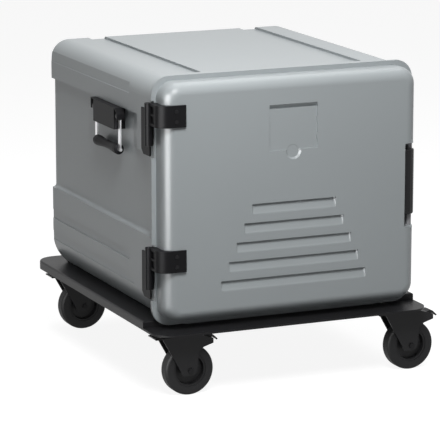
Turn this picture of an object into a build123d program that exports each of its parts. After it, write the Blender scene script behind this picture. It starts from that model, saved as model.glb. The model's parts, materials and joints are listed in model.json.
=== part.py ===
from build123d import *
import os

os.makedirs("parts", exist_ok=True)

# Insulated food transport cart, in millimetres. The door faces -Y and Z is up.
# The origin lies on the floor under the middle of the dolly.

# Clearances
seat_gap = 0.3
pin_fit = 0.05
bolt_fit = 0.2

# Castor, measured from its swivel axis; the wheel trails towards +X
wheel_r = 62.5
wheel_w = 35
rim_r = 42
rim_w = 31
rim_web = 9
hub_r = 14
tyre_edge_r = 7
axle_r = 5
trail = 38.4
fork_t = 3
fork_bend_r = 2
fork_half_len = 53
cheek_gap = 3
crown_top = 150
castor_plate_len = 105
castor_plate_w = 85
castor_plate_t = 4
race_r = 32
castor_h = 162
king_pin_r = 6
king_head_r = 10
king_head_h = 6
bolt_pitch_x = 80
bolt_pitch_y = 60
bolt_r = 4
bolt_head_r = 7.5
nut_r = 7
nut_h = 4
swivel_x = 299
swivel_y = 355

# Brake pedal, measured from the swivel axis
pedal_pin_x = 80
pedal_pin_z = 133
pedal_pin_r = 3
pedal_half_w = 14

# Dolly deck and its raised rim
deck_w = 730
deck_d = 855
deck_corner_r = 50
deck_t = 5
rim_h = 16.7
rim_wall = 3
rim_front_y = -330
rim_inner_x = 299.3
rim_edge_r = 4
nest_gap = 1

# Container body
body_half_w = 340
body_front_y = -331
body_back_y = 355
body_h = 605
top_corner_r = 48
bottom_corner_r = 95
back_edge_r = 8
shell_wall = 6

# Relief of the body's sides
recess_depth = 12
belt_top_z = 387
band_bottom_z = 674
gutter_r = 8
pad_z = 588
pad_front_y = -240
pad_ramp = 50
groove_depth = 3
groove_1_z = 304
groove_1_h = 24
groove_1_front = -182
groove_1_slant = 8
groove_2_z = 248.6
groove_2_h = 23.4
groove_2_front = -214
groove_2_slant = 30
crease_z = 717
crease_depth = 1.7
crease_fade = 30
crease_front_y = -185

# Roof channels
channel_x = 190
channel_w = 48
channel_depth = 6
channel_front_y = -279

# Cabinet inside
cavity_w = 545
cavity_h = 490
cavity_z = 222
cavity_back_y = 326
cavity_r = 25
liner_wall = 4
runner_count = 6
runner_pitch = 75
runner_first_z = 275
runner_reach = 18
runner_h = 12
runner_inset = 12

# Door
door_gap = 3
flange_half_w = 346
flange_z = 172
flange_h = 607
flange_t = 9
flange_r = 45
bulge_depth = 56
bulge_margin = 11.5
bulge_bottom_margin = 15
bulge_r = 42
bulge_edge_r = 30
door_wall = 5
panel_t = 3
plug_reach = 8
plug_gap = 8
gasket_w = 20
gasket_margin = 10

# Five grooves in the door, each wider than the one above
slot_count = 5
slot_top_z = 463.5
slot_pitch = 45.6
slot_h = 26.3
slot_half_w = 110
slot_step = 20.4
slot_slant = 11
slot_depth = 5

# Label recess with its finger notch
label_w = 128
label_h = 112
label_z = 589
label_depth = 2.5
notch_r = 20

# Hinges: an axis at the left front corner, two hinges
hinge_x = -350
hinge_y = -336
hinge_barrel_r = 10
hinge_pin_r = 4
hinge_pitch = 350
plate_z = 585
plate_h = 112
plate_t = 3.5
plate_back_y = -273
plate_front_y = -325
plate_corner = 12
barrel_z = 614
barrel_h = 50
knuckle_h = 52
leaf_h = 53
leaf_out_x = -352
leaf_end_x = -282
leaf_t = 6
leaf_edge_r = 28
leaf_pocket_depth = 4
leaf_pocket_w = 22
leaf_pocket_h = 18
leaf_pocket_gap = 5
leaf_screw_x = -307
leaf_screw_pitch = 25
screw_head_r = 4.5
screw_head_h = 2
hinge_notch_x = -338.5
hinge_notch_z = 583
hinge_notch_h = 139

# Latch: a lever turning on a pin in the door's right edge
latch_x = 325
latch_y = -372
latch_pin_r = 8
latch_notch_z = 372
latch_notch_h = 208
latch_notch_r = 24
lever_z = 406
lever_h = 156
lever_r = 23.5
flange_cut_x = 338
claw_z = 457
claw_h = 46
claw_t = 4
claw_back_y = -296
keeper_z = 452
keeper_h = 56
keeper_t = 3.5
keeper_front_y = -322
keeper_back_y = -276
keeper_post_y = -306
keeper_post_t = 8

# Side handles
handle_y = -64
handle_half_span = 77
bail_x = 346
bail_z = 653
bail_leg_w = 12
bail_leg_t = 3.5
bail_eye_r = 8
bail_pin_r = 3
grip_z = 570
grip_rod_r = 4
grip_r = 13
grip_waist_r = 10
grip_collar = 14
bracket_t = 3
bracket_top_z = 673
bracket_low_z = 619
bracket_wing_z = 646
bracket_out_x = 358
bracket_wing = 26
bracket_front_half = 70

# Places derived from the sizes above
deck_z = castor_h
deck_top = deck_z + deck_t
body_z = deck_top
body_top = body_z + body_h
recess_x = body_half_w - recess_depth
cavity_mid_z = cavity_z + cavity_h / 2
door_back_y = body_front_y - door_gap
flange_front_y = door_back_y - flange_t
door_front_y = flange_front_y - bulge_depth
flange_mid_z = flange_z + flange_h / 2
bulge_low = flange_z + bulge_bottom_margin
bulge_high = flange_z + flange_h - bulge_margin
bulge_half_w = flange_half_w - bulge_margin
fork_half_w = wheel_w / 2 + cheek_gap + fork_t
crown_z = crown_top - fork_t
castor_plate_z = castor_h - castor_plate_t
beyond = 5

stations = {
    "front_left": (-swivel_x, -swivel_y),
    "front_right": (swivel_x, -swivel_y),
    "rear_left": (-swivel_x, swivel_y),
    "rear_right": (swivel_x, swivel_y),
}


def inner_r(radius, inset):
    """The radius of an edge that lies inset inside an edge of the given radius."""
    return max(radius - inset, 0.5)


def side_plane(side, x):
    """A plane at X = side * x that looks outwards, with Y as its first direction."""
    return Plane(origin=(side * x, 0, 0), x_dir=(0, 1, 0), z_dir=(side, 0, 0))


def at_y(y):
    """The upright plane at this Y, looking at the front, with X and Z as directions."""
    return Plane.XZ.offset(-y)


# Dolly deck: a flat plate with countersunk castor bolts
with BuildPart() as deck_plate:
    with BuildSketch(Plane.XY.offset(deck_z)):
        RectangleRounded(deck_w, deck_d, deck_corner_r)
    extrude(amount=deck_t)
    with Locations(*[(x, y, deck_top) for x, y in stations.values()]):
        with GridLocations(bolt_pitch_x, bolt_pitch_y, 2, 2):
            CounterSinkHole(bolt_r + bolt_fit, bolt_head_r + bolt_fit, deck_t)
deck_plate.part.label = "deck_plate"
export_step(deck_plate.part, "parts/deck_plate.step")

# Raised rim round the left, back and right of the container, hollow below
nest_back_y = body_back_y + nest_gap
with BuildPart() as deck_rim:
    for grow, height, mode in ((0, rim_h, Mode.ADD), (rim_wall, rim_h - rim_wall, Mode.SUBTRACT)):
        with BuildSketch(Plane.XY.offset(deck_top)):
            RectangleRounded(deck_w - 2 * grow, deck_d - 2 * grow, deck_corner_r - grow)
            with Locations((0, nest_back_y + grow)):
                Rectangle(
                    2 * (rim_inner_x + grow),
                    deck_d,
                    align=(Align.CENTER, Align.MAX),
                    mode=Mode.SUBTRACT,
                )
            with Locations((0, rim_front_y + grow)):
                Rectangle(deck_w, deck_d, align=(Align.CENTER, Align.MAX), mode=Mode.SUBTRACT)
        extrude(amount=height, mode=mode)
        if mode == Mode.ADD:
            fillet(deck_rim.faces().sort_by(Axis.Z)[-1].outer_wire().edges(), rim_edge_r)
deck_rim.part.label = "deck_rim"
export_step(deck_rim.part, "parts/deck_rim.step")

# Castors
for place, (x0, y0) in stations.items():
    braked = place.startswith("front")
    with BuildPart() as castor_plate:
        with BuildSketch(Plane((x0, y0, castor_plate_z))):
            RectangleRounded(castor_plate_len, castor_plate_w, bolt_r)
            with GridLocations(bolt_pitch_x, bolt_pitch_y, 2, 2):
                Circle(bolt_r + bolt_fit, mode=Mode.SUBTRACT)
        extrude(amount=castor_plate_t)
        with BuildSketch(Plane((x0, y0, crown_top + seat_gap))):
            Circle(race_r)
        extrude(until=Until.NEXT)
        with BuildSketch(Plane((x0, y0, crown_top))):
            Circle(king_pin_r + pin_fit)
        extrude(amount=castor_h, mode=Mode.SUBTRACT)
    castor_plate.part.label = "castor_plate_" + place
    export_step(castor_plate.part, "parts/castor_plate_" + place + ".step")

    with BuildPart() as king_pin:
        with BuildSketch(Plane((x0, y0, castor_h))):
            Circle(king_pin_r)
        extrude(amount=-(castor_h - crown_z + seat_gap))
        with BuildSketch(Plane((x0, y0, crown_z - seat_gap))):
            Circle(king_head_r)
        extrude(amount=-king_head_h)
        chamfer(king_pin.edges().sort_by(Axis.Z)[0], 1)
    king_pin.part.label = "king_pin_" + place
    export_step(king_pin.part, "parts/king_pin_" + place + ".step")

    axle_x = x0 + trail
    with BuildPart() as fork:
        outline = [
            (x0 - fork_half_len, crown_top),
            (x0 - fork_half_len, crown_z),
            (axle_x - 23, wheel_r - 8),
            (axle_x - 18, wheel_r - 13),
            (axle_x + 5, wheel_r - 13),
            (axle_x + 14, wheel_r - 7),
            (axle_x + 18, wheel_r + 8),
            (axle_x + 21, crown_z - 42),
        ]
        if braked:
            outline += [
                (pedal_pin_x + x0 - 8, pedal_pin_z - 15),
                (pedal_pin_x + x0 + 18, pedal_pin_z - 7),
                (pedal_pin_x + x0 + 18, pedal_pin_z + 5),
                (x0 + fork_half_len + 9, crown_top),
            ]
        else:
            outline += [(x0 + fork_half_len, crown_z), (x0 + fork_half_len, crown_top)]
        with BuildSketch(at_y(y0 - fork_half_w)):
            with BuildLine():
                Polyline(*outline, close=True)
            make_face()
        extrude(amount=-2 * fork_half_w)
        with BuildSketch(at_y(y0 - fork_half_w + fork_t)):
            with Locations((x0, 0)):
                Rectangle(deck_w, crown_z, align=(Align.CENTER, Align.MIN))
            if braked:
                with Locations((x0 + fork_half_len, 0)):
                    Rectangle(deck_w, castor_h, align=(Align.MIN, Align.MIN))
        extrude(amount=-2 * (fork_half_w - fork_t), mode=Mode.SUBTRACT)
        top_edges = fork.edges().filter_by(Axis.X).group_by(Axis.Z)[-1].sort_by(Axis.Y)
        fillet([top_edges[0], top_edges[-1]], fork_bend_r)
        with BuildSketch(Plane((x0, y0, crown_top))):
            Circle(king_pin_r + pin_fit)
        extrude(amount=-2 * fork_t, mode=Mode.SUBTRACT)
        with BuildSketch(at_y(y0 - fork_half_w)):
            with Locations((axle_x, wheel_r)):
                Circle(axle_r)
            if braked:
                with Locations((x0 + pedal_pin_x, pedal_pin_z)):
                    Circle(pedal_pin_r + pin_fit)
        extrude(amount=-2 * fork_half_w, mode=Mode.SUBTRACT)
    fork.part.label = "castor_fork_" + place
    export_step(fork.part, "parts/castor_fork_" + place + ".step")

    with BuildPart() as axle:
        with BuildSketch(at_y(y0 - fork_half_w)):
            with Locations((axle_x, wheel_r)):
                Circle(axle_r)
        extrude(amount=-2 * fork_half_w)
        with BuildSketch(at_y(y0 - fork_half_w), at_y(y0 + fork_half_w + nut_h)):
            with Locations((axle_x, wheel_r)):
                RegularPolygon(nut_r, 6)
        extrude(amount=nut_h)
    axle.part.label = "castor_axle_" + place
    export_step(axle.part, "parts/castor_axle_" + place + ".step")

    hub_half_w = wheel_w / 2 + cheek_gap - seat_gap
    with BuildPart() as rim:
        with BuildSketch(Plane((axle_x, y0, wheel_r))):
            with BuildLine():
                Polyline(
                    (axle_r + pin_fit, -hub_half_w),
                    (hub_r, -hub_half_w),
                    (hub_r + 3, -rim_web / 2),
                    (rim_r - 7, -rim_web / 2),
                    (rim_r - 5, -rim_w / 2),
                    (rim_r, -rim_w / 2),
                    (rim_r, rim_w / 2),
                    (rim_r - 5, rim_w / 2),
                    (rim_r - 7, rim_web / 2),
                    (hub_r + 3, rim_web / 2),
                    (hub_r, hub_half_w),
                    (axle_r + pin_fit, hub_half_w),
                    close=True,
                )
            make_face()
        revolve(axis=Axis((axle_x, y0, wheel_r), (0, 1, 0)))
    rim.part.label = "castor_rim_" + place
    export_step(rim.part, "parts/castor_rim_" + place + ".step")

    with BuildPart() as tyre:
        with BuildSketch(Plane((axle_x, y0, wheel_r))) as tread:
            with Locations((rim_r, 0)):
                Rectangle(wheel_r - rim_r, wheel_w, align=(Align.MIN, Align.CENTER))
            fillet(tread.vertices().group_by(Axis.X)[-1], tyre_edge_r)
        revolve(axis=Axis((axle_x, y0, wheel_r), (0, 1, 0)))
    tyre.part.label = "castor_tyre_" + place
    export_step(tyre.part, "parts/castor_tyre_" + place + ".step")

    if braked:
        pin_x = x0 + pedal_pin_x
        with BuildPart() as pedal:
            with BuildSketch(at_y(y0 - pedal_half_w)):
                with BuildLine():
                    Polyline(
                        (pin_x - 16, pedal_pin_z + 5),
                        (pin_x - 14, pedal_pin_z + 10),
                        (pin_x + 5, pedal_pin_z + 10),
                        (pin_x + 14, pedal_pin_z + 14),
                        (pin_x + 21, pedal_pin_z + 11),
                        (pin_x + 33, pedal_pin_z),
                        (pin_x + 31, pedal_pin_z - 3),
                        (pin_x + 19, pedal_pin_z + 6),
                        (pin_x + 6, pedal_pin_z - 6),
                        (pin_x - 6, pedal_pin_z - 6),
                        close=True,
                    )
                make_face()
            extrude(amount=-2 * pedal_half_w)
            with BuildSketch(at_y(y0 - fork_half_w)):
                with Locations((pin_x, pedal_pin_z)):
                    Circle(pedal_pin_r)
            extrude(amount=-2 * fork_half_w)
        pedal.part.label = "brake_pedal_" + place
        export_step(pedal.part, "parts/brake_pedal_" + place + ".step")

# Countersunk bolts with thin nuts under each castor plate
with BuildPart() as castor_bolts:
    for x0, y0 in stations.values():
        with BuildSketch(Plane((x0, y0, castor_plate_z - nut_h))):
            with GridLocations(bolt_pitch_x, bolt_pitch_y, 2, 2):
                Circle(bolt_r)
        extrude(amount=nut_h + castor_plate_t + deck_t)
        with BuildSketch(Plane((x0, y0, castor_plate_z - nut_h))):
            with GridLocations(bolt_pitch_x, bolt_pitch_y, 2, 2):
                RegularPolygon(nut_r, 6)
        extrude(amount=nut_h)
        with Locations((x0, y0, deck_top)):
            with GridLocations(bolt_pitch_x, bolt_pitch_y, 2, 2):
                head = bolt_head_r - bolt_r
                Cone(bolt_r, bolt_head_r, head, align=(Align.CENTER, Align.CENTER, Align.MAX))
castor_bolts.part.label = "castor_bolts"
export_step(castor_bolts.part, "parts/castor_bolts.step")


def body_form(inset):
    """The container body's outer form, moved inwards by inset on every face."""
    half_w = body_half_w - inset
    wall_x = recess_x - inset
    back_y = body_back_y - inset
    front_y = body_front_y + inset
    with BuildPart() as form:
        with BuildSketch(at_y(front_y)) as outline:
            with Locations((0, body_z + body_h / 2)):
                Rectangle(2 * half_w, body_h - 2 * inset)
            fillet(outline.vertices().group_by(Axis.Y)[-1], inner_r(top_corner_r, inset))
            fillet(outline.vertices().group_by(Axis.Y)[0], inner_r(bottom_corner_r, inset))
        extrude(amount=-(back_y - front_y))
        fillet(form.faces().sort_by(Axis.Y)[-1].edges(), inner_r(back_edge_r, inset))
        # roof channels, open at the back
        with BuildSketch(Plane.XY.offset(body_top - channel_depth - inset)):
            middle_x = channel_x + channel_w / 2
            with Locations((middle_x, channel_front_y - inset), (-middle_x, channel_front_y - inset)):
                Rectangle(channel_w + 2 * inset, body_back_y * 2, align=(Align.CENTER, Align.MIN))
        extrude(amount=channel_depth + inset + beyond, mode=Mode.SUBTRACT)
        for side in (-1, 1):
            # side recess between the belt and the lid band, as far as the hinge pad
            low_z = belt_top_z - inset
            with BuildSketch(at_y(front_y - beyond)) as recess:
                with BuildLine():
                    Polyline(
                        (side * wall_x, low_z),
                        (side * (half_w + beyond), low_z),
                        (side * (half_w + beyond), pad_z + inset),
                        (side * wall_x, pad_z + inset),
                        close=True,
                    )
                make_face()
                corner = recess.vertices().group_by(Axis.Y)[0].sort_by(Axis.X)
                fillet(corner[0] if side > 0 else corner[-1], gutter_r)
            extrude(amount=-(back_y - front_y + 2 * beyond), mode=Mode.SUBTRACT)
            with BuildSketch(Plane.XY.offset(pad_z - beyond)):
                with BuildLine():
                    Polyline(
                        (side * wall_x, back_y + beyond),
                        (side * wall_x, pad_front_y + pad_ramp - inset),
                        (side * half_w, pad_front_y - inset),
                        (side * (half_w + beyond), pad_front_y - inset),
                        (side * (half_w + beyond), back_y + beyond),
                        close=True,
                    )
                make_face()
            extrude(amount=band_bottom_z + inset - pad_z + beyond, mode=Mode.SUBTRACT)
            # two belt grooves, open at the back
            for low, high, front, slant in (
                (groove_1_z, groove_1_h, groove_1_front, groove_1_slant),
                (groove_2_z, groove_2_h, groove_2_front, groove_2_slant),
            ):
                with BuildSketch(side_plane(side, half_w - groove_depth)):
                    with BuildLine():
                        Polyline(
                            (back_y + beyond, side * (low - inset)),
                            (front - inset, side * (low - inset)),
                            (front + slant - inset, side * (low + high + inset)),
                            (back_y + beyond, side * (low + high + inset)),
                            close=True,
                        )
                    make_face()
                extrude(amount=groove_depth + 1, mode=Mode.SUBTRACT)
    return form.part


body_outside = body_form(0)
body_core = body_form(shell_wall)
liner_outer_w = cavity_w + 2 * liner_wall
liner_outer_h = cavity_h + 2 * liner_wall
liner_back_y = cavity_back_y + liner_wall

# Outer shell of the container, one hollow moulding with a front frame
with BuildPart() as body_shell:
    add(body_outside)
    add(body_core, mode=Mode.SUBTRACT)
    with BuildSketch(at_y(body_front_y)):
        with Locations((0, cavity_mid_z)):
            RectangleRounded(liner_outer_w, liner_outer_h, cavity_r + liner_wall)
    extrude(amount=-shell_wall - 1, mode=Mode.SUBTRACT)
    for side in (-1, 1):
        with BuildSketch(at_y(crease_front_y)):
            with BuildLine():
                crease_x = body_half_w - crease_depth
                Polyline(
                    (side * crease_x, crease_z),
                    (side * (body_half_w + beyond), crease_z),
                    (side * (body_half_w + beyond), crease_z + crease_fade),
                    (side * (crease_x - 2.5), crease_z + crease_fade),
                    close=True,
                )
            make_face()
        extrude(amount=-(body_back_y - crease_front_y + beyond), mode=Mode.SUBTRACT)
body_shell.part.label = "body_shell"
export_step(body_shell.part, "parts/body_shell.step")

# Foam between the shell and the liner
with BuildPart() as body_foam:
    add(body_core)
    with BuildSketch(at_y(body_front_y)):
        with Locations((0, cavity_mid_z)):
            RectangleRounded(liner_outer_w, liner_outer_h, cavity_r + liner_wall)
    extrude(amount=-(liner_back_y - body_front_y), mode=Mode.SUBTRACT)
body_foam.part.label = "body_foam"
export_step(body_foam.part, "parts/body_foam.step")

# Inner liner with its runners for trays
with BuildPart() as inner_liner:
    with BuildSketch(at_y(body_front_y)):
        with Locations((0, cavity_mid_z)):
            RectangleRounded(liner_outer_w, liner_outer_h, cavity_r + liner_wall)
    extrude(amount=-(liner_back_y - body_front_y))
    with BuildSketch(at_y(body_front_y)):
        with Locations((0, cavity_mid_z)):
            RectangleRounded(cavity_w, cavity_h, cavity_r)
    extrude(amount=-(cavity_back_y - body_front_y), mode=Mode.SUBTRACT)
    runner_len = cavity_back_y - body_front_y - 2 * runner_inset
    for side in (-1, 1):
        with BuildSketch(at_y(body_front_y + runner_inset)):
            for level in range(runner_count):
                z = runner_first_z + level * runner_pitch
                wall_x = cavity_w / 2
                with BuildLine():
                    Polyline(
                        (side * (wall_x + liner_wall / 2), z - runner_reach),
                        (side * wall_x, z - runner_reach),
                        (side * (wall_x - runner_reach), z - runner_h / 2),
                        (side * (wall_x - runner_reach), z),
                        (side * (wall_x + liner_wall / 2), z),
                        close=True,
                    )
                make_face()
        extrude(amount=-runner_len)
inner_liner.part.label = "inner_liner"
export_step(inner_liner.part, "parts/inner_liner.step")


def door_form(inset):
    """The door's outer form, moved inwards by inset on every face but its back."""
    with BuildPart() as form:
        with BuildSketch(at_y(door_back_y)):
            with Locations((0, flange_mid_z)):
                RectangleRounded(
                    2 * (flange_half_w - inset), flange_h - 2 * inset, inner_r(flange_r, inset)
                )
        extrude(amount=flange_t - inset)
        with BuildSketch(at_y(door_back_y)):
            with Locations((0, (bulge_low + bulge_high) / 2)):
                RectangleRounded(
                    2 * (bulge_half_w - inset),
                    bulge_high - bulge_low - 2 * inset,
                    inner_r(bulge_r, inset),
                )
        extrude(amount=flange_t + bulge_depth - inset)
        fillet(form.faces().sort_by(Axis.Y)[0].edges(), inner_r(bulge_edge_r, inset))
        # five grooves across the front
        with BuildSketch(at_y(door_front_y + slot_depth + inset)):
            for row in range(slot_count):
                top = slot_top_z - row * slot_pitch + inset
                low = slot_top_z - row * slot_pitch - slot_h - inset
                wide = slot_half_w + row * slot_step + inset
                narrow = wide - slot_slant
                with BuildLine():
                    Polyline((-wide, top), (wide, top), (narrow, low), (-narrow, low), close=True)
                make_face()
        extrude(amount=slot_depth + 1, mode=Mode.SUBTRACT)
        # notch for the latch lever in the right edge
        with BuildSketch(Plane.XY.offset(latch_notch_z - inset)):
            with Locations((latch_x, latch_y)):
                Circle(latch_notch_r + inset)
                Rectangle(
                    latch_notch_r * 2,
                    2 * (latch_notch_r + inset) + beyond,
                    align=(Align.MIN, Align.CENTER),
                )
            with Locations((flange_cut_x - inset, door_back_y + beyond)):
                Rectangle(
                    latch_notch_r * 2,
                    door_back_y + beyond - latch_y,
                    align=(Align.MIN, Align.MAX),
                )
        extrude(amount=latch_notch_h + 2 * inset, mode=Mode.SUBTRACT)
        # notches for the hinge barrels in the left edge
        for drop in (0, hinge_pitch):
            with BuildSketch(Plane.XY.offset(hinge_notch_z - drop - inset)):
                with Locations((hinge_notch_x + inset, door_back_y + beyond)):
                    Rectangle(
                        2 * hinge_barrel_r,
                        flange_t + beyond - inset,
                        align=(Align.MAX, Align.MAX),
                    )
            extrude(amount=hinge_notch_h + 2 * inset, mode=Mode.SUBTRACT)
    return form.part


door_outside = door_form(0)
door_core = door_form(door_wall)
plug_w = cavity_w - 2 * plug_gap
plug_h = cavity_h - 2 * plug_gap
plug_r = cavity_r - plug_gap / 2

# Outer shell of the door, open at the back
with BuildPart() as door_shell:
    add(door_outside)
    add(door_core, mode=Mode.SUBTRACT)
    with BuildSketch(at_y(door_front_y)):
        with Locations((0, label_z + label_h / 2)):
            Rectangle(label_w, label_h)
        with Locations((0, label_z)):
            Circle(notch_r)
    extrude(amount=-label_depth, mode=Mode.SUBTRACT)
door_shell.part.label = "door_shell"
export_step(door_shell.part, "parts/door_shell.step")

# Inner panel of the door with its raised plug
with BuildPart() as door_inner_panel:
    add(door_core)
    with BuildSketch(at_y(door_back_y - panel_t)):
        with Locations((0, flange_mid_z)):
            Rectangle(deck_w, 2 * flange_h)
    extrude(amount=deck_d, mode=Mode.SUBTRACT)
    with BuildSketch(at_y(door_back_y)):
        with Locations((0, cavity_mid_z)):
            RectangleRounded(plug_w, plug_h, plug_r)
    extrude(amount=-plug_reach)
    with BuildSketch(at_y(door_back_y - panel_t)):
        with Locations((0, cavity_mid_z)):
            RectangleRounded(plug_w - 2 * panel_t, plug_h - 2 * panel_t, plug_r - panel_t)
    extrude(amount=-plug_reach, mode=Mode.SUBTRACT)
door_inner_panel.part.label = "door_inner_panel"
export_step(door_inner_panel.part, "parts/door_inner_panel.step")

# Foam inside the door
with BuildPart() as door_foam:
    add(door_core)
    with BuildSketch(at_y(door_back_y)):
        with Locations((0, flange_mid_z)):
            Rectangle(deck_w, 2 * flange_h)
    extrude(amount=panel_t, mode=Mode.SUBTRACT)
    with BuildSketch(at_y(door_back_y - panel_t)):
        with Locations((0, cavity_mid_z)):
            RectangleRounded(plug_w - 2 * panel_t, plug_h - 2 * panel_t, plug_r - panel_t)
    extrude(amount=-plug_reach)
door_foam.part.label = "door_foam"
export_step(door_foam.part, "parts/door_foam.step")

# Gasket between the door and the body's front frame
gasket_inner = gasket_margin
with BuildPart() as door_gasket:
    with BuildSketch(at_y(door_back_y)):
        with Locations((0, cavity_mid_z)):
            grown = 2 * (gasket_inner + gasket_w)
            RectangleRounded(cavity_w + grown, cavity_h + grown, cavity_r + grown / 2)
            RectangleRounded(
                cavity_w + 2 * gasket_inner,
                cavity_h + 2 * gasket_inner,
                cavity_r + gasket_inner,
                mode=Mode.SUBTRACT,
            )
    extrude(amount=-(door_gap - seat_gap))
door_gasket.part.label = "door_gasket"
export_step(door_gasket.part, "parts/door_gasket.step")

# Hinges: a plate with its barrel on the body, a leaf with its knuckle on the door, a pin
for level, drop in (("upper", 0), ("lower", hinge_pitch)):
    with BuildPart() as hinge_plate:
        with BuildSketch(side_plane(-1, body_half_w)):
            with BuildLine():
                low = plate_z - drop
                high = plate_z + plate_h - drop
                Polyline(
                    (plate_front_y, -low),
                    (plate_back_y - plate_corner, -low),
                    (plate_back_y, -(low + plate_corner)),
                    (plate_back_y, -high),
                    (plate_front_y, -high),
                    close=True,
                )
            make_face()
        extrude(amount=plate_t)
        with BuildSketch(Plane.XY.offset(barrel_z - drop)):
            with Locations((-body_half_w - plate_t, plate_front_y)):
                Rectangle(
                    plate_t - seat_gap,
                    plate_front_y - hinge_y,
                    align=(Align.MIN, Align.MAX),
                )
            with Locations((hinge_x, hinge_y)):
                Circle(hinge_barrel_r)
                Circle(hinge_pin_r, mode=Mode.SUBTRACT)
        extrude(amount=barrel_h)
    hinge_plate.part.label = "hinge_plate_" + level
    export_step(hinge_plate.part, "parts/hinge_plate_" + level + ".step")

    knuckle_z = barrel_z + barrel_h + seat_gap - drop
    with BuildPart() as hinge_leaf:
        with BuildSketch(Plane.XY.offset(knuckle_z)):
            bend_y = door_front_y - leaf_t + leaf_edge_r
            inner_bend_x = -bulge_half_w + bulge_edge_r
            inner_bend_y = door_front_y + bulge_edge_r
            with BuildLine():
                Line((leaf_out_x, hinge_y), (leaf_out_x, bend_y))
                RadiusArc(
                    (leaf_out_x, bend_y),
                    (leaf_out_x + leaf_edge_r, door_front_y - leaf_t),
                    -leaf_edge_r,
                )
                Line((leaf_out_x + leaf_edge_r, door_front_y - leaf_t), (leaf_end_x, door_front_y - leaf_t))
                Line((leaf_end_x, door_front_y - leaf_t), (leaf_end_x, door_front_y))
                Line((leaf_end_x, door_front_y), (inner_bend_x, door_front_y))
                RadiusArc((inner_bend_x, door_front_y), (-bulge_half_w, inner_bend_y), bulge_edge_r)
                Line((-bulge_half_w, inner_bend_y), (-bulge_half_w, flange_front_y))
                Line((-bulge_half_w, flange_front_y), (hinge_notch_x, flange_front_y))
                Line((hinge_notch_x, flange_front_y), (hinge_x + hinge_barrel_r - 1, hinge_y))
                Line((hinge_x + hinge_barrel_r - 1, hinge_y), (leaf_out_x, hinge_y))
            make_face()
        extrude(amount=leaf_h)
        with BuildSketch(Plane.XY.offset(knuckle_z)):
            with Locations((hinge_x, hinge_y)):
                Circle(hinge_barrel_r)
        extrude(amount=knuckle_h)
        with BuildSketch(Plane.XY.offset(knuckle_z)):
            with Locations((hinge_x, hinge_y)):
                Circle(hinge_pin_r + pin_fit)
        extrude(amount=leaf_h, mode=Mode.SUBTRACT)
        # two pockets in the side of the leaf
        pocket_mid_y = (hinge_y - hinge_barrel_r + bend_y) / 2 - 1
        with BuildSketch(side_plane(-1, -leaf_out_x - leaf_pocket_depth)):
            with Locations((pocket_mid_y, -(knuckle_z + leaf_h / 2))):
                with GridLocations(1, leaf_pocket_h + leaf_pocket_gap, 1, 2):
                    Rectangle(leaf_pocket_w, leaf_pocket_h)
        extrude(amount=leaf_pocket_depth, mode=Mode.SUBTRACT)
    hinge_leaf.part.label = "hinge_leaf_" + level
    export_step(hinge_leaf.part, "parts/hinge_leaf_" + level + ".step")

    with BuildPart() as hinge_pin:
        with BuildSketch(Plane.XY.offset(barrel_z - drop)):
            with Locations((hinge_x, hinge_y)):
                Circle(hinge_pin_r)
        extrude(amount=barrel_h + knuckle_h - seat_gap)
        chamfer(hinge_pin.edges().sort_by(Axis.Z)[-1], 1)
    hinge_pin.part.label = "hinge_pin_" + level
    export_step(hinge_pin.part, "parts/hinge_pin_" + level + ".step")

# Screws in the hinge leaves
with BuildPart() as leaf_screws:
    for drop in (0, hinge_pitch):
        mid_z = barrel_z + barrel_h + seat_gap + leaf_h / 2 - drop
        with BuildSketch(at_y(door_front_y - leaf_t)):
            with Locations((leaf_screw_x, mid_z)):
                with GridLocations(1, leaf_screw_pitch, 1, 2):
                    Circle(screw_head_r)
        extrude(amount=screw_head_h)
leaf_screws.part.label = "leaf_screws"
export_step(leaf_screws.part, "parts/leaf_screws.step")

# Latch pin in the door's notch
with BuildPart() as latch_pin:
    with BuildSketch(Plane.XY.offset(latch_notch_z)):
        with Locations((latch_x, latch_y)):
            Circle(latch_pin_r)
    extrude(amount=latch_notch_h)
latch_pin.part.label = "latch_pin"
export_step(latch_pin.part, "parts/latch_pin.step")

# Latch lever with its claw
with BuildPart() as latch_lever:
    with BuildSketch(Plane.XY.offset(lever_z)):
        with Locations((latch_x, latch_y)):
            Circle(lever_r)
    extrude(amount=lever_h)
    with BuildSketch(Plane.XY.offset(claw_z)):
        with Locations((latch_x + lever_r, latch_y)):
            Rectangle(claw_t, claw_back_y - latch_y, align=(Align.MAX, Align.MIN))
    extrude(amount=claw_h)
    with BuildSketch(Plane.XY.offset(lever_z)):
        with Locations((latch_x, latch_y)):
            Circle(latch_pin_r + pin_fit)
    extrude(amount=lever_h, mode=Mode.SUBTRACT)
latch_lever.part.label = "latch_lever"
export_step(latch_lever.part, "parts/latch_lever.step")

# Keeper on the body's right side, under the claw
keeper_top_x = latch_x + lever_r - claw_t - seat_gap
with BuildPart() as latch_keeper:
    with BuildSketch(Plane.XY.offset(keeper_z)):
        with Locations((recess_x, keeper_front_y)):
            Rectangle(keeper_t, keeper_back_y - keeper_front_y, align=(Align.MIN, Align.MIN))
        with Locations((recess_x, keeper_post_y)):
            Rectangle(keeper_top_x - recess_x, keeper_post_t, align=(Align.MIN, Align.MIN))
    extrude(amount=keeper_h)
latch_keeper.part.label = "latch_keeper"
export_step(latch_keeper.part, "parts/latch_keeper.step")


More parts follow.
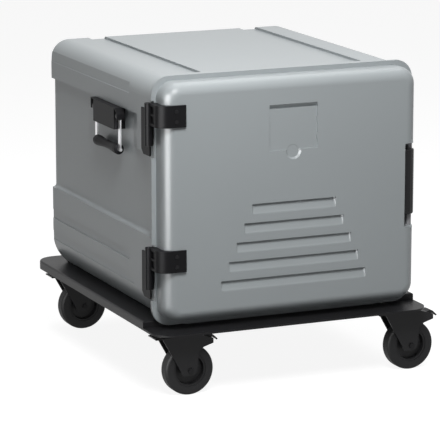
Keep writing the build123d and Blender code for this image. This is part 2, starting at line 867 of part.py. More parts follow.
def handle_bracket(side):
    """The housing that carries one swinging handle, on the left for side = -1."""
    front_len = 2 * bracket_front_half
    wing_half = handle_half_span + bracket_wing
    with BuildPart() as bracket:
        # back plate on the recess wall
        with BuildSketch(side_plane(side, recess_x)):
            with Locations((handle_y, side * (bracket_low_z + bracket_top_z) / 2)):
                Rectangle(front_len, bracket_top_z - bracket_low_z)
            with Locations((handle_y, side * (bracket_wing_z + bracket_top_z) / 2)):
                Rectangle(2 * wing_half, bracket_top_z - bracket_wing_z)
        extrude(amount=bracket_t)
        # box behind the front plate
        with BuildSketch(side_plane(side, recess_x)):
            with Locations((handle_y, side * (bracket_low_z + bracket_top_z) / 2)):
                Rectangle(front_len, bracket_top_z - bracket_low_z)
        extrude(amount=bracket_out_x - recess_x)
        with BuildSketch(side_plane(side, recess_x + bracket_t)):
            with Locations((handle_y, side * bracket_low_z)):
                Rectangle(front_len - 2 * bracket_t, 2 * (bracket_top_z - bracket_low_z - bracket_t))
        extrude(amount=bracket_out_x - recess_x - 2 * bracket_t, mode=Mode.SUBTRACT)
        # wings over the two legs
        with BuildSketch(side_plane(side, recess_x)):
            with Locations((handle_y, side * (bracket_wing_z + bracket_top_z) / 2)):
                Rectangle(2 * wing_half, bracket_top_z - bracket_wing_z)
                Rectangle(front_len, bracket_top_z - bracket_wing_z, mode=Mode.SUBTRACT)
            with Locations((handle_y, side * (bracket_top_z + bracket_wing_z) / 2 - side * bracket_t)):
                Rectangle(
                    2 * (wing_half - bracket_t), bracket_top_z - bracket_wing_z, mode=Mode.SUBTRACT
                )
        extrude(amount=bracket_out_x - recess_x - 2 * bracket_t)
        # pivot pins for the legs
        with BuildSketch(at_y(handle_y - wing_half), at_y(handle_y + bracket_front_half)):
            with Locations((side * bail_x, bail_z)):
                Circle(bail_pin_r)
        extrude(amount=-(wing_half - bracket_front_half))
    return bracket.part


bracket_left = handle_bracket(-1)
bracket_left.label = "handle_bracket_left"
export_step(bracket_left, "parts/handle_bracket_left.step")
bracket_right = handle_bracket(1)
bracket_right.label = "handle_bracket_right"
export_step(bracket_right, "parts/handle_bracket_right.step")

for name, side in (("left", -1), ("right", 1)):
    # a bail of two flat legs and a rod
    with BuildPart() as bail:
        with BuildSketch(side_plane(side, bail_x - bail_leg_t / 2)):
            for end in (-1, 1):
                with Locations((handle_y + end * handle_half_span, side * (bail_z + grip_z) / 2)):
                    Rectangle(bail_leg_w, bail_z - grip_z)
        extrude(amount=bail_leg_t)
        with BuildSketch(
            at_y(handle_y - handle_half_span - bail_leg_w / 2),
            at_y(handle_y + handle_half_span - bail_leg_w / 2),
        ):
            with Locations((side * bail_x, bail_z)):
                Circle(bail_eye_r)
        extrude(amount=-bail_leg_w)
        with BuildSketch(at_y(handle_y - handle_half_span - bail_leg_w / 2)):
            with Locations((side * bail_x, grip_z)):
                Circle(grip_rod_r)
        extrude(amount=-(2 * handle_half_span + bail_leg_w))
        with BuildSketch(at_y(handle_y - 2 * handle_half_span)):
            with Locations((side * bail_x, bail_z)):
                Circle(bail_pin_r + pin_fit)
        extrude(amount=-4 * handle_half_span, mode=Mode.SUBTRACT)
    bail.part.label = "bail_" + name
    export_step(bail.part, "parts/bail_" + name + ".step")

    # its waisted grip
    grip_half = handle_half_span - bail_leg_w / 2
    with BuildPart() as grip:
        with BuildSketch(Plane((side * bail_x, handle_y, grip_z))):
            with BuildLine():
                Line((grip_rod_r, -grip_half), (grip_r, -grip_half))
                Line((grip_r, -grip_half), (grip_r, -grip_half + grip_collar))
                ThreePointArc(
                    (grip_r, -grip_half + grip_collar),
                    (grip_waist_r, 0),
                    (grip_r, grip_half - grip_collar),
                )
                Line((grip_r, grip_half - grip_collar), (grip_r, grip_half))
                Line((grip_r, grip_half), (grip_rod_r, grip_half))
                Line((grip_rod_r, grip_half), (grip_rod_r, -grip_half))
            make_face()
        revolve(axis=Axis((side * bail_x, handle_y, grip_z), (0, 1, 0)))
    grip.part.label = "grip_" + name
    export_step(grip.part, "parts/grip_" + name + ".step")
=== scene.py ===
import json
import math

import bmesh
import bpy
import numpy as np
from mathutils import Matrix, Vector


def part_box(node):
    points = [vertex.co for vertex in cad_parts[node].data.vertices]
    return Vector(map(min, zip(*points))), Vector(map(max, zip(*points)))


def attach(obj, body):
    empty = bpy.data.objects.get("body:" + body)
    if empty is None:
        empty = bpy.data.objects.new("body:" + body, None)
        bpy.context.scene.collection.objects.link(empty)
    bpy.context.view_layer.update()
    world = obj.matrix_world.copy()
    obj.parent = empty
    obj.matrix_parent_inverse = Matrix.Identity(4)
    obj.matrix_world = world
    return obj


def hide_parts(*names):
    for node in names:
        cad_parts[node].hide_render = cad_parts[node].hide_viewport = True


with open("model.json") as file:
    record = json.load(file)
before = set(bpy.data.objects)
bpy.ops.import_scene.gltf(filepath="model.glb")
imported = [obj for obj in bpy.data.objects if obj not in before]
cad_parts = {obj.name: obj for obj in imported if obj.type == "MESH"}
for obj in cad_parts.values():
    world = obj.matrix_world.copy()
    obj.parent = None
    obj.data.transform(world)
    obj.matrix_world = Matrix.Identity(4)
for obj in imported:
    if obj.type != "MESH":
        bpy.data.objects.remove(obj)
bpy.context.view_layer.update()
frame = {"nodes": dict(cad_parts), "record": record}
nodes = frame["nodes"]

# Camera, fitted to the photograph's edges; metres and degrees
CAMERA_PLACE = (-2.8833, -6.5285, 1.8685)
CAMERA_PITCH = 77.89
CAMERA_HEADING = -23.697
CAMERA_LENS = 234.73
SENSOR_WIDTH = 36.0

# Colours, linear
SHELL_GREY = (0.30, 0.325, 0.335, 1)
LINER_GREY = (0.22, 0.23, 0.24, 1)
BLACK = (0.01, 0.01, 0.011, 1)
BLACK_SOFT = (0.013, 0.013, 0.014, 1)
TYRE_BLACK = (0.016, 0.016, 0.017, 1)
STEEL = (0.72, 0.72, 0.73, 1)
PIN_GREY = (0.25, 0.25, 0.26, 1)
FOAM = (0.8, 0.74, 0.55, 1)
FLOOR_WHITE = (0.25, 0.25, 0.25, 1)
FLOOR_GLOW = 0.9

# Door front, in metres: slots as the solid has them, and as they are shaped here
SLOT_COUNT = 5
SLOT_TOP = 0.4635
SLOT_PITCH = 0.0456
SLOT_H = 0.0263
SLOT_STEP = 0.0204
SOLID_SLOT_HALF = 0.11
SOLID_SLANT = 0.011
SOLID_SLOT_DEPTH = 0.005
SLOT_MID_X = 0.003
SLOT_HALF = 0.1115
SLOT_DEPTH = 0.0075
SLOT_END_R = 0.006
LABEL_HALF = 0.064
LABEL_LOW = 0.589
LABEL_TOP = 0.701
LABEL_DEPTH = 0.0038
LABEL_LIP_H = 0.0105
LABEL_LIP_DEPTH = 0.0085
BACKING_NEAR = 0.004
BACKING_FAR = 0.015
NOTCH_R = 0.0205
NOTCH_Z = 0.585
NOTCH_PROFILE = ((0, 0.0046), (0.0155, 0.0046), (0.0205, -0.0004), (0.0205, -0.003), (0, -0.003))
NIB_HALF_W = 0.0025
NIB_HALF_H = 0.006
NIB_HEIGHTS = (0.618, 0.66)
NIB_SET_BACK = 0.0002
NIB_SINK = 0.001
BACKING_MARGIN = 0.006
LATCH_BACKING_REACH = 0.0285
LATCH_AXIS = (0.325, -0.372)
LATCH_ROOM_R = 0.0287
LATCH_OPEN_LEFT = 0.3015
LATCH_OPEN_W = 0.04
LATCH_OPEN_LOW = 0.3721
LATCH_OPEN_HIGH = 0.5799
LATCH_OPEN_DEPTH = 0.010
CUT_FRONT = 0.003
CUT_SKIM = 0.0003
PLUG_PROUD = 0.00002
PLUG_OVER = 0.0003
CUT_CLEAR = 0.01
SHARP_ANGLE = 32

# Latch handle, forks, handle legs and brackets, in metres
LEVER_LEFT = 0.3037
LEVER_W = 0.0318
LEVER_SWELL = 0.0045
LEVER_GROOVE = 0.0012
LEVER_LOW = 0.4005
LEVER_H = 0.163
LEVER_FRONT = -0.3905
LEVER_BACK = -0.3625
LEVER_FALL = 0.011
LEVER_END_ROWS = (0, 0.001, 0.003)
LEVER_END_DRAW = (0.0022, 0.0008, 0)
GROOVE_SHARES = (0.36, 0.66)
GROOVE_SPREAD = 0.035
STRAP_PATH = ((0.330, -0.370), (0.3365, -0.368), (0.341, -0.363), (0.3445, -0.356),
              (0.346, -0.350), (0.3465, -0.325), (0.3465, -0.297))
STRAP_T = 0.0036
STRAP_HEIGHTS = (0.4572, 0.5028)
FORK_TOP_X = -0.034
FORK_CROWN_H = 0.004
FORK_LOW_X = 0.014
FORK_LOW_Z = 0.060
KNUCKLE_R = 0.0105
KNUCKLE_HALF_LEN = 0.0073
BRACKET_END_OUT = 0.0115
BRACKET_END_R = 0.0205
BRACKET_END_T = 0.0025
BRACKET_END_LOW = 0.646
BRACKET_END_DEPTH = 0.022
BRACKET_END_LAP = 0.0004
BRACKET_CUT_HALF = 0.052
BRACKET_CUT_DROP = 0.03
BAIL_PIVOT = (0.346, 0.653)
LEG_HALF_W = 0.006


def add_camera():
    """Stands the camera where the photograph was taken from."""
    data = bpy.data.cameras.new("camera")
    data.sensor_width = SENSOR_WIDTH
    data.lens = CAMERA_LENS
    data.clip_end = 50
    camera = bpy.data.objects.new("camera", data)
    camera.location = CAMERA_PLACE
    camera.rotation_euler = (math.radians(CAMERA_PITCH), 0, math.radians(CAMERA_HEADING))
    bpy.context.scene.collection.objects.link(camera)
    bpy.context.scene.camera = camera


def add_area_light(name, place, target, size, power, gloss_only=False):
    """A soft square lamp at place, aimed at target; one for gloss shows in reflections alone."""
    data = bpy.data.lights.new(name, "AREA")
    data.shape = "RECTANGLE"
    data.size, data.size_y = size
    data.energy = power
    lamp = bpy.data.objects.new(name, data)
    lamp.visible_diffuse = not gloss_only
    lamp.visible_camera = False
    lamp.location = place
    direction = [t - p for t, p in zip(target, place)]
    flat = math.hypot(direction[0], direction[1])
    lamp.rotation_euler = (
        math.atan2(flat, -direction[2]),
        0,
        math.atan2(direction[1], direction[0]) - math.pi / 2,
    )
    bpy.context.scene.collection.objects.link(lamp)


def plain_nodes(material):
    """Empties a material's tree and returns its tree, shader and output."""
    material.use_nodes = True
    tree = material.node_tree
    tree.nodes.clear()
    shader = tree.nodes.new("ShaderNodeBsdfPrincipled")
    output = tree.nodes.new("ShaderNodeOutputMaterial")
    tree.links.new(shader.outputs["BSDF"], output.inputs["Surface"])
    return tree, shader, output


def new_group(name, inputs, outputs):
    """An empty node group with these sockets, as (name, type, value) and (name, type)."""
    group = bpy.data.node_groups.new(name, "ShaderNodeTree")
    for label, kind, value in inputs:
        socket = group.interface.new_socket(label, in_out="INPUT", socket_type=kind)
        socket.default_value = value
    for label, kind in outputs:
        group.interface.new_socket(label, in_out="OUTPUT", socket_type=kind)
    start = group.nodes.new("NodeGroupInput")
    end = group.nodes.new("NodeGroupOutput")
    return group, start, end


def noise(group, coordinate, scale, detail=4.0, rough=0.5):
    """A noise texture on this coordinate."""
    node = group.nodes.new("ShaderNodeTexNoise")
    node.inputs["Scale"].default_value = scale
    node.inputs["Detail"].default_value = detail
    node.inputs["Roughness"].default_value = rough
    group.links.new(coordinate, node.inputs["Vector"])
    return node


def make_grain_group():
    """Moulded grain: fine bumps for the normal, and a slow mask for colour and gloss."""
    group, start, end = new_group(
        "moulded_grain",
        [("Fine", "NodeSocketFloat", 900.0), ("Depth", "NodeSocketFloat", 0.15)],
        [("Normal", "NodeSocketVector"), ("Mask", "NodeSocketFloat")],
    )
    place = group.nodes.new("ShaderNodeTexCoord").outputs["Object"]
    fine = noise(group, place, 900.0, 3.0, 0.6)
    group.links.new(start.outputs["Fine"], fine.inputs["Scale"])
    slow = noise(group, place, 3.0, 3.0, 0.5)
    bump = group.nodes.new("ShaderNodeBump")
    bump.inputs["Distance"].default_value = 0.0004
    group.links.new(start.outputs["Depth"], bump.inputs["Strength"])
    group.links.new(fine.outputs["Fac"], bump.inputs["Height"])
    group.links.new(bump.outputs["Normal"], end.inputs["Normal"])
    group.links.new(slow.outputs["Fac"], end.inputs["Mask"])
    return group


def grained(name, colour, roughness, fine, depth, spread=0.04, metallic=0.0, specular=0.5):
    """A surface of one colour with grain, whose shade and gloss drift a little."""
    material = bpy.data.materials.new(name)
    tree, shader, _ = plain_nodes(material)
    grain = tree.nodes.new("ShaderNodeGroup")
    grain.node_tree = GRAIN
    grain.inputs["Fine"].default_value = fine
    grain.inputs["Depth"].default_value = depth
    ramp = tree.nodes.new("ShaderNodeMix")
    ramp.data_type = "RGBA"
    ramp.inputs["A"].default_value = tuple(c * (1 - spread) for c in colour[:3]) + (1,)
    ramp.inputs["B"].default_value = tuple(c * (1 + spread) for c in colour[:3]) + (1,)
    gloss = tree.nodes.new("ShaderNodeMapRange")
    gloss.inputs["To Min"].default_value = roughness - 0.04
    gloss.inputs["To Max"].default_value = roughness + 0.04
    tree.links.new(grain.outputs["Mask"], ramp.inputs["Factor"])
    tree.links.new(grain.outputs["Mask"], gloss.inputs["Value"])
    tree.links.new(ramp.outputs["Result"], shader.inputs["Base Color"])
    tree.links.new(gloss.outputs["Result"], shader.inputs["Roughness"])
    tree.links.new(grain.outputs["Normal"], shader.inputs["Normal"])
    shader.inputs["Metallic"].default_value = metallic
    shader.inputs["Specular IOR Level"].default_value = specular
    return material


def coat(mesh, material):
    """Leaves a mesh with this material alone."""
    mesh.materials.clear()
    mesh.materials.append(material)


def new_piece(name, mesh, material):
    """Puts a mesh into the scene as a piece of this material, and keeps it at the origin."""
    coat(mesh, material)
    piece = bpy.data.objects.new(name, mesh)
    bpy.context.scene.collection.objects.link(piece)
    return piece


def clean_mesh(mesh, turn_out=True):
    """Joins points that coincide, and turns a closed mesh's faces outwards."""
    work = bmesh.new()
    work.from_mesh(mesh)
    bmesh.ops.remove_doubles(work, verts=work.verts, dist=1e-6)
    if turn_out:
        bmesh.ops.recalc_face_normals(work, faces=work.faces)
    work.to_mesh(mesh)
    work.free()
    return mesh


def joined(name, meshes):
    """One mesh of several, each kept as it is."""
    work = bmesh.new()
    for mesh in meshes:
        work.from_mesh(mesh)
    whole = bpy.data.meshes.new(name)
    work.to_mesh(whole)
    work.free()
    return whole


def block_between(name, front, back):
    """A closed mesh between two grids of points of one shape, joined round their borders."""
    rows, columns = front.shape[:2]
    count = rows * columns
    row, column = np.meshgrid(np.arange(rows - 1), np.arange(columns - 1), indexing="ij")
    corner = (row * columns + column).ravel()
    quads = np.stack([corner, corner + 1, corner + columns + 1, corner + columns], axis=1)
    number = np.arange(count).reshape(rows, columns)
    border = np.concatenate(
        [number[0, :-1], number[:-1, -1], number[-1, :0:-1], number[:0:-1, 0]]
    )
    after = np.roll(border, -1)
    sides = np.stack([border, after, after + count, border + count], axis=1)
    faces = np.concatenate([quads[:, ::-1], quads + count, sides])
    mesh = bpy.data.meshes.new(name)
    points = np.concatenate([front.reshape(-1, 3), back.reshape(-1, 3)])
    mesh.from_pydata(points.tolist(), [], faces.tolist())
    return clean_mesh(mesh)


def slot_cutter(mid_x, half_w, top, height, face_y):
    """What a slot takes out: upright at its top, its floor sloping out to the lower edge.

    Across the slot, the depth is its greatest depth times one less the share of the way
    down, to the power 0.7. Near each end it falls off as a quarter of a circle.
    """
    reach = SLOT_END_R
    inner = np.linspace(-half_w + reach, half_w - reach, 9)
    rise = reach * (1 - np.cos(np.linspace(0, math.pi / 2, 8)))
    x = np.concatenate([-half_w + rise[:-1], inner, (half_w - rise[:-1])[::-1]])
    near = np.clip((half_w - np.abs(x)) / reach, 0, 1)
    fall = np.sqrt(1 - (1 - near) ** 2)
    down = np.linspace(0, 1, 9)
    depth = SLOT_DEPTH * (1 - down[:, None]) ** 0.7 * fall[None, :] - CUT_SKIM
    grid_x, grid_z = np.meshgrid(mid_x + x, top - height * down)
    front = np.stack([grid_x, np.full_like(grid_x, face_y - CUT_FRONT), grid_z], axis=2)
    back = np.stack([grid_x, face_y + depth, grid_z], axis=2)
    return block_between("slot_cutter", front, back)


def front_block(name, top_half, low_half, low, high, near_y, far_y, mid_x=0.0):
    """A block with upright front and back, as wide at its top and bottom as these halves say."""
    x = mid_x + np.array([[-top_half, top_half], [-low_half, low_half]])
    z = np.array([[high, high], [low, low]])
    front = np.stack([x, np.full_like(x, near_y), z], axis=2)
    back = np.stack([x, np.full_like(x, far_y), z], axis=2)
    return block_between(name, front, back)


def turned(name, profile, centre, axis, sides=48):
    """A closed mesh: a profile of (radius, distance along) carried round an axis, y or z."""
    angle = np.linspace(0, 2 * math.pi, sides + 1)[:-1]
    radius, along = np.array(profile).T
    across = radius[:, None] * np.cos(angle)
    other = radius[:, None] * np.sin(angle)
    along = np.repeat(along[:, None], sides, axis=1)
    order = [across, along, other] if axis == "y" else [across, other, along]
    points = np.stack(order, axis=2).reshape(-1, 3) + np.array(centre)
    row, column = np.meshgrid(np.arange(len(radius) - 1), np.arange(sides), indexing="ij")
    here = (row * sides + column).ravel()
    beside = (row * sides + (column + 1) % sides).ravel()
    faces = np.stack([here, beside, beside + sides, here + sides], axis=1)
    mesh = bpy.data.meshes.new(name)
    mesh.from_pydata(points.tolist(), [], faces.tolist())
    return clean_mesh(mesh)


def carve(target, tools, operation):
    """The target's mesh after each tool is cut from it or joined to it."""
    for tool in tools:
        helper = bpy.data.objects.new(tool.name, tool)
        bpy.context.scene.collection.objects.link(helper)
        step = target.modifiers.new("carve", "BOOLEAN")
        step.operation = operation
        step.solver = "EXACT"
        step.object = helper
        shown = target.evaluated_get(bpy.context.evaluated_depsgraph_get())
        carved = bpy.data.meshes.new_from_object(shown)
        target.modifiers.clear()
        target.data = carved
        bpy.data.objects.remove(helper)


def smooth_faces(piece, angle):
    """Rounded faces shade smoothly, flat faces stay flat and edges past the angle stay sharp."""
    mesh = piece.data
    mesh.polygons.foreach_set("use_smooth", np.ones(len(mesh.polygons), dtype=bool))
    work = bmesh.new()
    work.from_mesh(mesh)
    bmesh.ops.dissolve_limit(
        work, angle_limit=math.radians(0.5), verts=work.verts, edges=work.edges
    )
    for edge in work.edges:
        edge.smooth = not edge.is_manifold or edge.calc_face_angle(0) < math.radians(angle)
    work.to_mesh(mesh)
    work.free()
    weigh = piece.modifiers.new("face_weights", "WEIGHTED_NORMAL")
    weigh.keep_sharp = True


def narrowed_fork(place, material):
    """A castor's fork whose cheeks lean back from the swivel to the axle."""
    low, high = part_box("king_pin_" + place)
    mid_x = (low[0] + high[0]) / 2
    low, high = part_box("castor_fork_" + place)
    mesh = clean_mesh(nodes["castor_fork_" + place].data.copy(), turn_out=False)
    fork = new_piece("fork_" + place, mesh, material)
    edge = np.array([
        [mid_x + FORK_TOP_X, high[2] - FORK_CROWN_H],
        [mid_x + FORK_LOW_X, FORK_LOW_Z],
    ])
    far = np.column_stack([np.full(2, low[0] - CUT_CLEAR), edge[:, 1]])
    sheets = []
    for y in (low[1] - CUT_CLEAR, high[1] + CUT_CLEAR):
        sheets.append(np.stack([np.insert(far, 1, y, axis=1), np.insert(edge, 1, y, axis=1)]))
    carve(fork, [block_between("fork_cutter", sheets[0], sheets[1])], "DIFFERENCE")
    coat(fork.data, material)
    smooth_faces(fork, SHARP_ANGLE)
    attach(fork, "fork_" + place)
    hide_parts("castor_fork_" + place)


def rounded_bracket(side, sign, material):
    """A handle's bracket with a short front end, bent down over the leg in a quarter circle."""
    low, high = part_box("handle_bracket_" + side)
    end_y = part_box("bail_" + side)[0][1] + LEG_HALF_W - BRACKET_END_OUT
    out_x = high[0] if sign > 0 else low[0]
    near_x = out_x - sign * BRACKET_END_DEPTH
    mesh = clean_mesh(nodes["handle_bracket_" + side].data.copy(), turn_out=False)
    bracket = new_piece("bracket_" + side, mesh, material)
    cut_y = end_y + BRACKET_END_R
    cutter = front_block("end_cutter", BRACKET_CUT_HALF, BRACKET_CUT_HALF,
                         BRACKET_END_LOW - BRACKET_CUT_DROP, high[2] + CUT_CLEAR,
                         low[1] - CUT_CLEAR, cut_y, out_x)
    carve(bracket, [cutter], "DIFFERENCE")
    turn = np.linspace(0, math.pi / 2, 13)
    sheets = []
    for radius in (BRACKET_END_R, BRACKET_END_R - BRACKET_END_T):
        y = cut_y + BRACKET_END_LAP - radius * np.sin(turn)
        z = high[2] - BRACKET_END_R + radius * np.cos(turn)
        y, z = np.append(y, y[-1]), np.append(z, BRACKET_END_LOW)
        curves = [np.column_stack([np.full_like(y, x), y, z]) for x in (near_x, out_x)]
        sheets.append(np.stack(curves))
    bent_end = block_between("bracket_end", sheets[0], sheets[1])
    bracket.data = joined("bracket_and_end", [bracket.data, bent_end])
    coat(bracket.data, material)
    smooth_faces(bracket, SHARP_ANGLE)
    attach(bracket, "trolley")
    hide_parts("handle_bracket_" + side)


def lever_bar(material):
    """The latch's bar, with its strap to the keeper.

    Across the bar, its front swells as a sine to the power 0.8 and falls back as the share
    of the width to the power 2.2, with two bell-shaped grooves. Near its ends its sections
    are drawn in.
    The strap is a flat section carried along a path of straight runs.
    """
    share = np.linspace(0, 1, 33)
    end_rows = np.array(LEVER_END_ROWS)
    rows = np.concatenate([end_rows, LEVER_H - end_rows[::-1]])
    drawn_in = np.array(LEVER_END_DRAW + LEVER_END_DRAW[::-1])
    groove = sum(np.exp(-(((share - at) / GROOVE_SPREAD) ** 2)) for at in GROOVE_SHARES)
    front_y = LEVER_FRONT - LEVER_SWELL * np.sin(math.pi * share) ** 0.8
    front_y = front_y + LEVER_FALL * share**2.2 + LEVER_GROOVE * groove
    grid_z = np.repeat(LEVER_LOW + rows[:, None], len(share), axis=1)
    grid_x = LEVER_LEFT + LEVER_W * share[None, :]
    grid_x = grid_x + (LEVER_LEFT + LEVER_W / 2 - grid_x) * drawn_in[:, None] / (LEVER_W / 2)
    front = np.stack([grid_x, front_y[None, :] + drawn_in[:, None], grid_z], axis=2)
    back_y = np.full_like(grid_x, LEVER_BACK) - drawn_in[:, None]
    bar = block_between("latch_bar", front, np.stack([grid_x, back_y, grid_z], axis=2))

    path = np.array(STRAP_PATH)
    run = np.gradient(path, axis=0)
    aside = np.stack([run[:, 1], -run[:, 0]], axis=1)
    aside *= STRAP_T / 2 / np.linalg.norm(aside, axis=1)[:, None]
    sheets = []
    for edge in (path + aside, path - aside):
        low_high = [np.column_stack([edge, np.full(len(edge), z)]) for z in STRAP_HEIGHTS]
        sheets.append(np.stack(low_high))
    strap = block_between("latch_strap", sheets[0], sheets[1])

    lever = new_piece("latch_handle", joined("latch_bar_and_strap", [bar, strap]), material)
    smooth_faces(lever, 40)
    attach(lever, "latch")
    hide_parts("latch_lever")


def leg_knuckle(name, body, centre, material):
    """A rounded barrel over a handle leg's eye.

    Its radius falls as the square root of one less the share of the way out to the power 8.
    """
    along = np.linspace(-1, 1, 17)
    radius = KNUCKLE_R * (1 - np.abs(along) ** 8) ** 0.5
    mesh = turned(name, np.column_stack([radius, KNUCKLE_HALF_LEN * along]), centre, "y", 32)
    knuckle = new_piece(name, mesh, material)
    smooth_faces(knuckle, 50)
    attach(knuckle, body)


def label_backing(face_y):
    """The thicker wall behind the label pocket and its notch."""
    half = LABEL_HALF + LABEL_LIP_H
    return front_block("label_backing", half, half, NOTCH_Z - NOTCH_R - LABEL_LIP_H,
                       LABEL_TOP + LABEL_LIP_H, face_y + BACKING_NEAR, face_y + BACKING_FAR)


def lip_cutter(face_y):
    """The strip under the label pocket's top edge, sloping in and down from the face."""
    x = np.array([[-LABEL_HALF, LABEL_HALF]] * 3)
    z = np.repeat([[LABEL_TOP], [LABEL_TOP - 0.0005], [LABEL_TOP - LABEL_LIP_H]], 2, axis=1)
    depth = np.repeat([[-CUT_SKIM], [CUT_SKIM], [LABEL_LIP_DEPTH]], 2, axis=1)
    front = np.stack([x, np.full_like(x, face_y - CUT_FRONT), z], axis=2)
    back = np.stack([x, face_y + depth, z], axis=2)
    return block_between("lip_cutter", front, back)


def latch_backing(face_y):
    """The thicker wall left of the latch handle."""
    half = (LATCH_AXIS[0] - LATCH_OPEN_LEFT) / 2 + BACKING_MARGIN
    return front_block("latch_backing", half, half, LATCH_OPEN_LOW - BACKING_MARGIN,
                       LATCH_OPEN_HIGH + BACKING_MARGIN, face_y + BACKING_NEAR,
                       LATCH_AXIS[1] + LATCH_BACKING_REACH, LATCH_AXIS[0] - half)


def door_foam_carved(material, face_y):
    """The door's foam with room for the thicker walls at the label pocket and the latch."""
    mesh = clean_mesh(nodes["door_foam"].data.copy(), turn_out=False)
    foam = new_piece("door_filling", mesh, material)
    carve(foam, [label_backing(face_y), latch_backing(face_y)], "DIFFERENCE")
    coat(foam.data, material)
    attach(foam, "door")
    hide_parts("door_foam")


def door_shell_carved(material, face_y):
    """The door's shell with shaped slots, a label pocket, a dished notch and the latch's room."""
    proud_y = face_y - PLUG_PROUD
    mesh = clean_mesh(nodes["door_shell"].data.copy(), turn_out=False)
    door = new_piece("door_skin", mesh, material)
    plugs, cutters = [], []
    for row in range(SLOT_COUNT):
        top = SLOT_TOP - row * SLOT_PITCH
        solid_half = SOLID_SLOT_HALF + row * SLOT_STEP + PLUG_OVER
        plugs.append(
            front_block("slot_plug", solid_half, solid_half - SOLID_SLANT, top - SLOT_H - PLUG_OVER,
                        top + PLUG_OVER, proud_y, face_y + SOLID_SLOT_DEPTH + PLUG_OVER)
        )
        half = SLOT_HALF + row * SLOT_STEP
        cutters.append(slot_cutter(SLOT_MID_X, half, top, SLOT_H, face_y))
    # the wall is thicker behind the label pocket's lip and left of the latch
    plugs.append(label_backing(face_y))
    plugs.append(latch_backing(face_y))
    room = ((0, 0), (LATCH_ROOM_R, 0), (LATCH_ROOM_R, LATCH_OPEN_HIGH - LATCH_OPEN_LOW),
            (0, LATCH_OPEN_HIGH - LATCH_OPEN_LOW))
    cutters.append(turned("latch_room", room, (*LATCH_AXIS, LATCH_OPEN_LOW), "z"))
    plugs.append(
        front_block("label_plug", LABEL_HALF + PLUG_OVER, LABEL_HALF + PLUG_OVER,
                    NOTCH_Z - NOTCH_R, LABEL_TOP + PLUG_OVER, proud_y, face_y + BACKING_FAR / 2)
    )
    cutters.append(
        front_block("label_floor", LABEL_HALF, LABEL_HALF, LABEL_LOW, LABEL_TOP - LABEL_LIP_H / 2,
                    face_y - CUT_FRONT, face_y + LABEL_DEPTH)
    )
    cutters.append(lip_cutter(face_y))
    cutters.append(
        front_block("latch_opening", LATCH_OPEN_W / 2, LATCH_OPEN_W / 2, LATCH_OPEN_LOW,
                    LATCH_OPEN_HIGH, face_y - CUT_FRONT, face_y + LATCH_OPEN_DEPTH,
                    LATCH_OPEN_LEFT + LATCH_OPEN_W / 2)
    )
    cutters.append(turned("finger_notch", NOTCH_PROFILE, (0, face_y, NOTCH_Z), "y"))
    nibs = [
        front_block("label_nib", NIB_HALF_W, NIB_HALF_W, z - NIB_HALF_H, z + NIB_HALF_H,
                    face_y + NIB_SET_BACK, face_y + LABEL_DEPTH + NIB_SINK, side * LABEL_HALF)
        for side in (-1, 1) for z in NIB_HEIGHTS
    ]
    carve(door, plugs, "UNION")
    carve(door, cutters, "DIFFERENCE")
    carve(door, nibs, "UNION")
    coat(door.data, material)
    smooth_faces(door, SHARP_ANGLE)
    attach(door, "door")
    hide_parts("door_shell")


def backdrop_rays(tree):
    """One where a ray comes from the camera, a reflection or a clear piece, else nought."""
    path = tree.nodes.new("ShaderNodeLightPath")
    seen = path.outputs["Is Camera Ray"]
    for kind in ("Is Glossy Ray", "Is Transmission Ray"):
        either = tree.nodes.new("ShaderNodeMath")
        either.operation = "MAXIMUM"
        tree.links.new(seen, either.inputs[0])
        tree.links.new(path.outputs[kind], either.inputs[1])
        seen = either.outputs[0]
    return seen


def add_floor():
    """A white floor: pure white to the camera where it is lit, and grey in the shadow."""
    mesh = bpy.data.meshes.new("floor")
    reach = 12.0
    mesh.from_pydata(
        [(-reach, -reach, 0), (reach, -reach, 0), (reach, reach, 0), (-reach, reach, 0)],
        [],
        [(0, 1, 2, 3)],
    )
    floor = bpy.data.objects.new("floor", mesh)
    bpy.context.scene.collection.objects.link(floor)
    material = bpy.data.materials.new("floor_white")
    tree, shader, output = plain_nodes(material)
    shader.inputs["Base Color"].default_value = FLOOR_WHITE
    shader.inputs["Roughness"].default_value = 0.9
    shader.inputs["Specular IOR Level"].default_value = 0.0
    glow = tree.nodes.new("ShaderNodeEmission")
    glow.inputs["Color"].default_value = (1, 1, 1, 1)
    strength = tree.nodes.new("ShaderNodeMath")
    strength.operation = "MULTIPLY"
    strength.inputs[1].default_value = FLOOR_GLOW
    tree.links.new(backdrop_rays(tree), strength.inputs[0])
    tree.links.new(strength.outputs[0], glow.inputs["Strength"])
    both = tree.nodes.new("ShaderNodeAddShader")
    tree.links.new(shader.outputs["BSDF"], both.inputs[0])
    tree.links.new(glow.outputs["Emission"], both.inputs[1])
    tree.links.new(both.outputs[0], output.inputs["Surface"])
    mesh.materials.append(material)


def add_world(ambient):
    """White to the camera, and an even dim light on everything else."""
    world = bpy.data.worlds.new("studio")
    world.use_nodes = True
    tree = world.node_tree
    tree.nodes.clear()
    mix = tree.nodes.new("ShaderNodeMix")
    mix.data_type = "FLOAT"
    mix.inputs["A"].default_value = ambient
    mix.inputs["B"].default_value = 1.0
    tree.links.new(backdrop_rays(tree), mix.inputs["Factor"])
    background = tree.nodes.new("ShaderNodeBackground")
    background.inputs["Color"].default_value = (1, 1, 1, 1)
    tree.links.new(mix.outputs["Result"], background.inputs["Strength"])
    output = tree.nodes.new("ShaderNodeOutputWorld")
    tree.links.new(background.outputs["Background"], output.inputs["Surface"])
    bpy.context.scene.world = world


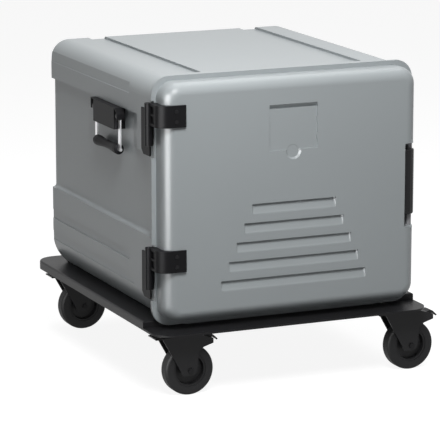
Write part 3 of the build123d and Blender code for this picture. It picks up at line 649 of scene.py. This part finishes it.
GRAIN = make_grain_group()
materials = {
    "shell_grey": grained("shell_plastic", SHELL_GREY, 0.36, 1400.0, 0.12, 0.03, specular=0.35),
    "liner_grey": grained("liner_plastic", LINER_GREY, 0.38, 900.0, 0.06, 0.03),
    "foam": grained("foam", FOAM, 0.9, 600.0, 0.5, 0.08),
    "deck_black": grained("deck_coating", BLACK, 0.4, 1200.0, 0.25, 0.08, specular=0.14),
    "rim_black": grained("rim_plastic", BLACK, 0.4, 1200.0, 0.2, 0.08, specular=0.14),
    "castor_black": grained("castor_coating", BLACK_SOFT, 0.38, 900.0, 0.2, 0.08, specular=0.18),
    "wheel_black": grained("wheel_plastic", BLACK_SOFT, 0.45, 900.0, 0.2, 0.08, specular=0.18),
    "tyre_black": grained("tyre_rubber", TYRE_BLACK, 0.6, 700.0, 0.3, 0.1, specular=0.18),
    "hinge_black": grained("hinge_plastic", BLACK, 0.38, 1100.0, 0.2, 0.08, specular=0.05),
    "latch_black": grained("latch_plastic", BLACK_SOFT, 0.4, 1100.0, 0.2, 0.08, specular=0.14),
    "screw_black": grained("blackened_steel", BLACK, 0.4, 900.0, 0.1, 0.05, specular=0.14),
    "pin_grey": grained("pin_plastic", PIN_GREY, 0.4, 900.0, 0.1, 0.03),
    "steel": grained("brushed_steel", STEEL, 0.3, 1500.0, 0.1, 0.05, metallic=1.0),
    "grip_black": grained("grip_rubber", BLACK, 0.5, 800.0, 0.3, 0.1, specular=0.06),
    "gasket_black": grained("gasket_rubber", BLACK, 0.7, 700.0, 0.2, 0.1, specular=0.14),
}
dark_fasteners = ("leaf_screws", "castor_bolts", "castor_axle")
finishes = {n: "screw_black" for n in nodes if n.startswith(dark_fasteners)}
for part in frame["record"]["subparts"]:
    finish = finishes.get(part["node"], part["material_slot"])
    coat(nodes[part["node"]].data, materials[finish])

door_face_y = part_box("door_shell")[0][1]
door_shell_carved(materials["shell_grey"], door_face_y)
door_foam_carved(materials["foam"], door_face_y)
lever_bar(materials["latch_black"])
for place in ("front_left", "front_right", "rear_left", "rear_right"):
    narrowed_fork(place, materials["castor_black"])
for side, sign in (("left", -1), ("right", 1)):
    rounded_bracket(side, sign, materials["hinge_black"])
    low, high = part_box("bail_" + side)
    for end, leg_y in (("front", low[1] + LEG_HALF_W), ("rear", high[1] - LEG_HALF_W)):
        pivot = (sign * BAIL_PIVOT[0], leg_y, BAIL_PIVOT[1])
        leg_knuckle("leg_knuckle_" + side + "_" + end, "handle_" + side, pivot,
                    materials["castor_black"])

add_camera()
add_world(0.1)
add_floor()
add_area_light("top_lamp", (0.5, 0.4, 3.2), (0, 0, 0.4), (2.4, 2.4), 50)
add_area_light("front_lamp", (-0.6, -1.75, 2.3), (-0.1, -0.4, 0.6), (1.0, 1.0), 62)
add_area_light("edge_lamp", (-1.5, -1.0, 0.75), (-0.35, -0.38, 0.5), (1.3, 1.4), 95,
               gloss_only=True)

bpy.context.scene.view_settings.view_transform = "Standard"
